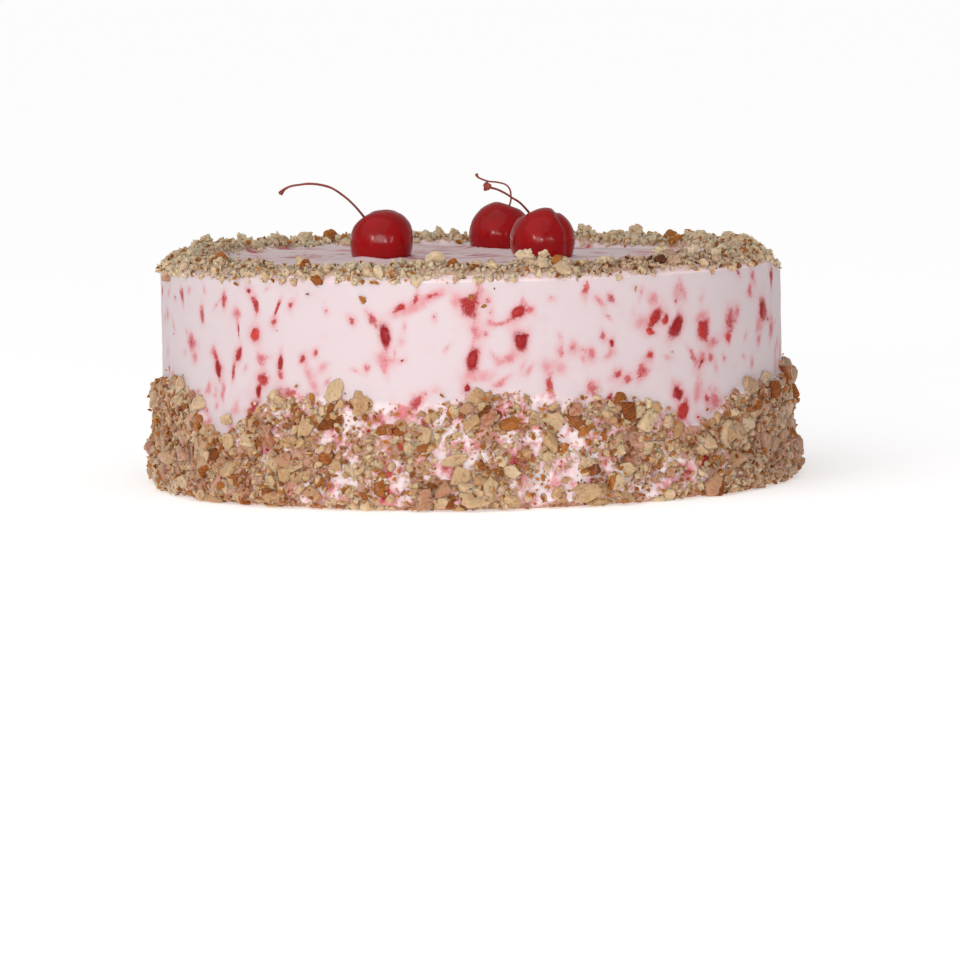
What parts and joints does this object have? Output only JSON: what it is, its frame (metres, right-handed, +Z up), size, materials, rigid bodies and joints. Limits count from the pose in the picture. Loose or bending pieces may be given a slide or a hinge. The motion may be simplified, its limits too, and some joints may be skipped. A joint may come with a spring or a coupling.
{
  "type": "cherry cake",
  "caption": "Round frosted cake with a straight wall, chopped nuts pressed on round its foot and rim, and stemmed cherries set into its flat top.",
  "frame": {"origin": "centre of the flat base, where the cake's axis meets the surface it stands on", "axes": "+Z up along the cake's axis; the front of the cake, as pictured, faces -Y; +X to the right of the front"},
  "size_m": [0.2396, 0.2411, 0.1103],
  "materials": {
    "frosting": "soft satin butter frosting, very pale pink, flecked with chopped cherry",
    "cherry": "glossy deep red skin of a preserved cherry",
    "stem": "dull red-brown, a little fibrous",
    "chopped_nut": "matte cream kernel with brown skin on some faces",
    "cherry_bit": "moist chopped cherry"
  },
  "bodies": {
    "root": {"frosted_cake": "frosting", "cherry_left": "cherry", "cherry_back": "cherry", "cherry_front": "cherry", "stem_left": "stem", "stem_back": "stem", "stem_front": "stem"}
  },
  "joints": []
}
